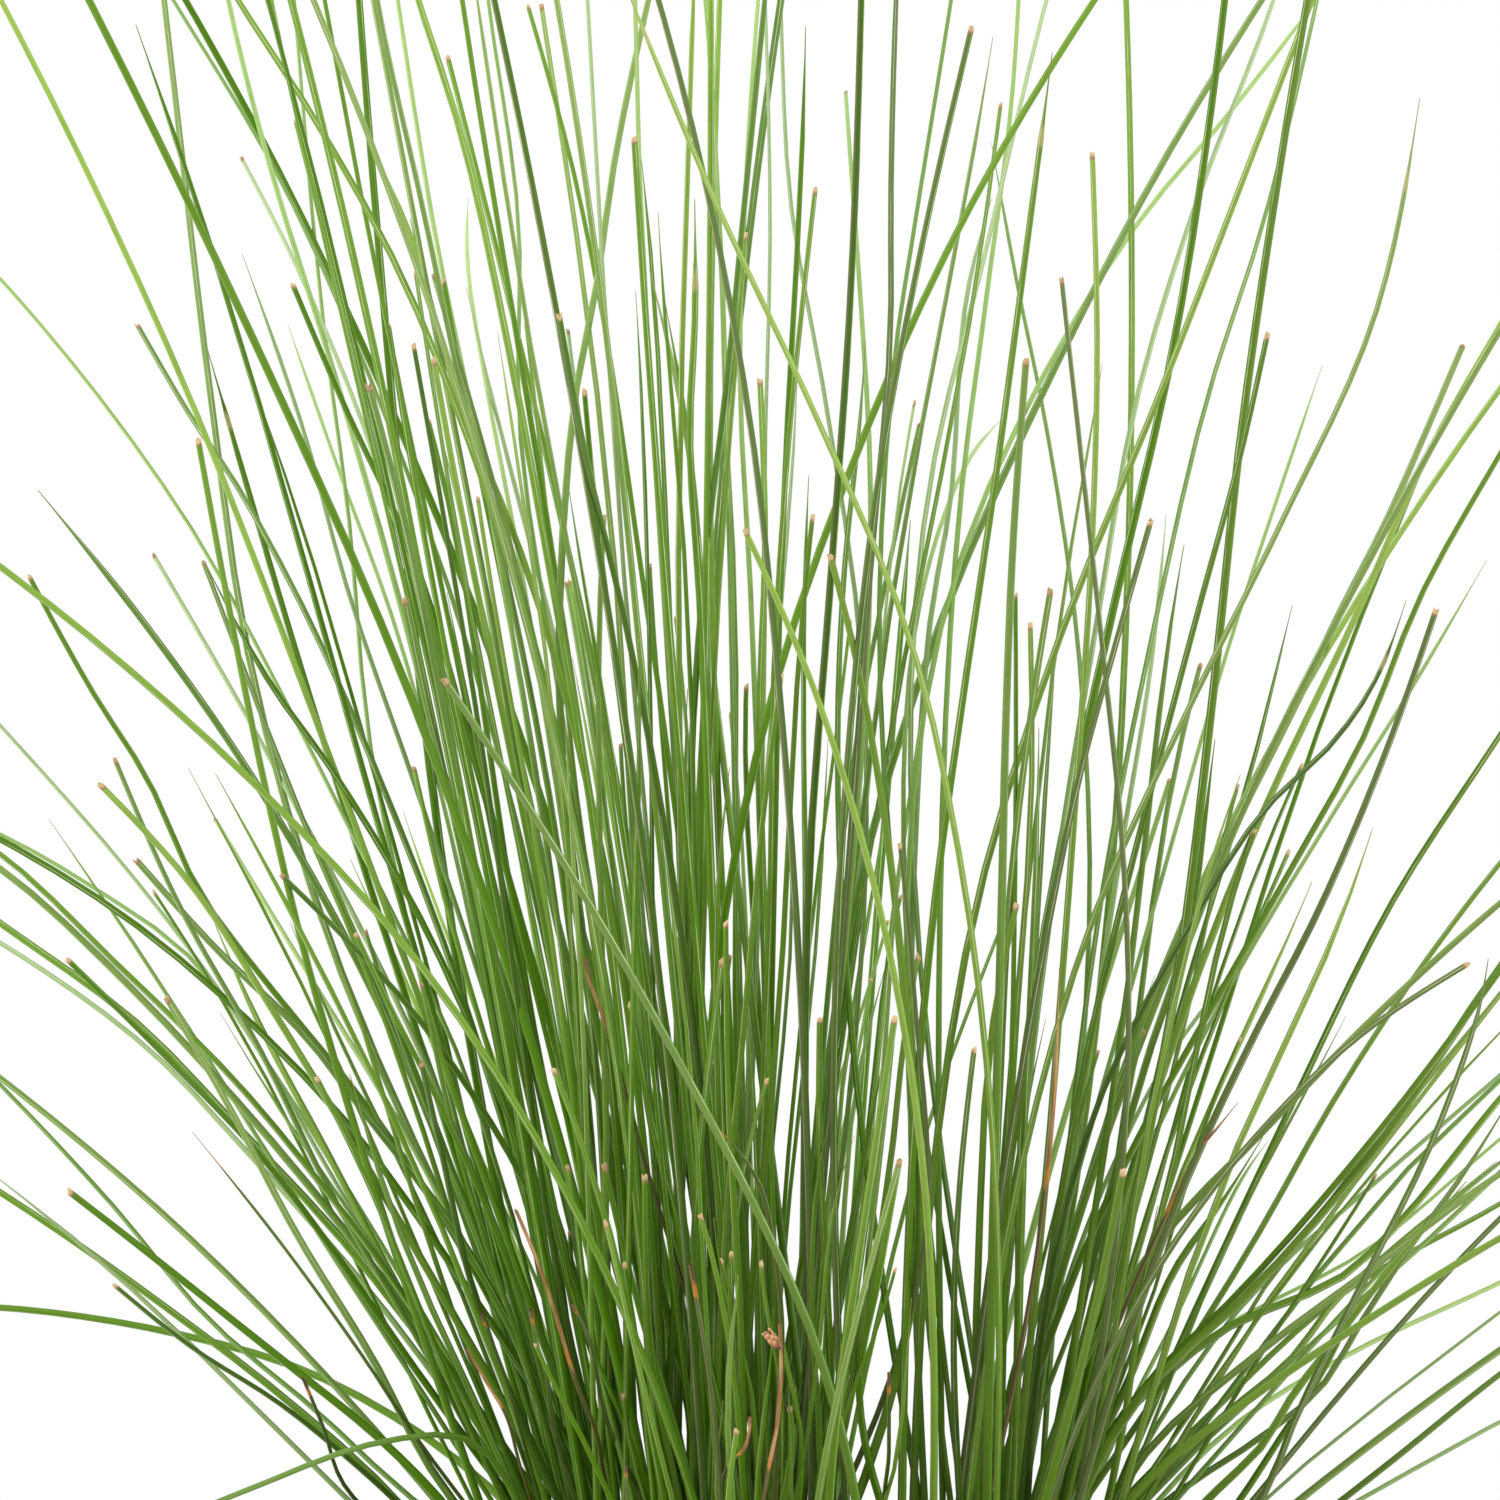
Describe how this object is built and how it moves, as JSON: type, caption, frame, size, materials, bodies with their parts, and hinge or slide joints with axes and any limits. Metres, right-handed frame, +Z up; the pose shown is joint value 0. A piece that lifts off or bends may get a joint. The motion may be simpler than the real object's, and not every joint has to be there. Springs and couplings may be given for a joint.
{
  "type": "potted ornamental grass",
  "caption": "Potted fiber optic grass: a dense upright tuft of fine round green stems fanning from a low crown in a tapered nursery pot.",
  "frame": {"origin": "centre of the pot's flat underside, on the pot's axis", "axes": "+Z up along the pot's axis, -Y towards the side of the tuft that the picture shows, +X to the right of that view"},
  "size_m": [0.2443, 0.2233, 0.3162],
  "materials": {
    "pot_plastic": "fine moulded charcoal plastic",
    "potting_mix": "crumbly moist peat, bark and perlite",
    "crown_sheath": "dry fibrous sheaths",
    "stem_green": "smooth waxy living stem",
    "stem_bronze": "smooth waxy stem flushed purple brown",
    "stem_dry": "dead straw"
  },
  "bodies": {
    "root": {"bent_stem": "stem_green", "bract_stem_01": "stem_green", "bract_stem_02": "stem_green", "bract_stem_03": "stem_green", "bract_stem_04": "stem_green", "bronze_stem_01": "stem_bronze", "bronze_stem_02": "stem_bronze", "bronze_stem_03": "stem_bronze", "bronze_stem_04": "stem_bronze", "bronze_stem_05": "stem_bronze", "bronze_stem_06": "stem_bronze", "bronze_stem_07": "stem_bronze", "bronze_stem_08": "stem_bronze", "crown": "crown_sheath", "dry_stem_01": "stem_dry", "dry_stem_02": "stem_dry", "dry_stem_03": "stem_dry", "dry_stem_04": "stem_dry", "green_stem_01": "stem_green", "green_stem_02": "stem_green", "green_stem_03": "stem_green", "green_stem_04": "stem_green", "green_stem_05": "stem_green", "green_stem_06": "stem_green", "green_stem_07": "stem_green", "green_stem_08": "stem_green", "green_stem_09": "stem_green", "green_stem_10": "stem_green", "green_stem_11": "stem_green", "green_stem_12": "stem_green", "green_stem_13": "stem_green", "green_stem_14": "stem_green", "green_stem_15": "stem_green", "green_stem_16": "stem_green", "green_stem_17": "stem_green", "green_stem_18": "stem_green", "green_stem_19": "stem_green", "green_stem_20": "stem_green", "green_stem_21": "stem_green", "green_stem_22": "stem_green", "green_stem_23": "stem_green", "green_stem_24": "stem_green", "green_stem_25": "stem_green", "green_stem_26": "stem_green", "green_stem_27": "stem_green", "green_stem_28": "stem_green", "green_stem_29": "stem_green", "green_stem_30": "stem_green", "green_stem_31": "stem_green", "green_stem_32": "stem_green", "green_stem_33": "stem_green", "green_stem_34": "stem_green", "green_stem_35": "stem_green", "green_stem_36": "stem_green", "green_stem_37": "stem_green", "green_stem_38": "stem_green", "green_stem_39": "stem_green", "green_stem_40": "stem_green", "pot": "pot_plastic", "potting_mix": "potting_mix"}
  },
  "joints": []
}
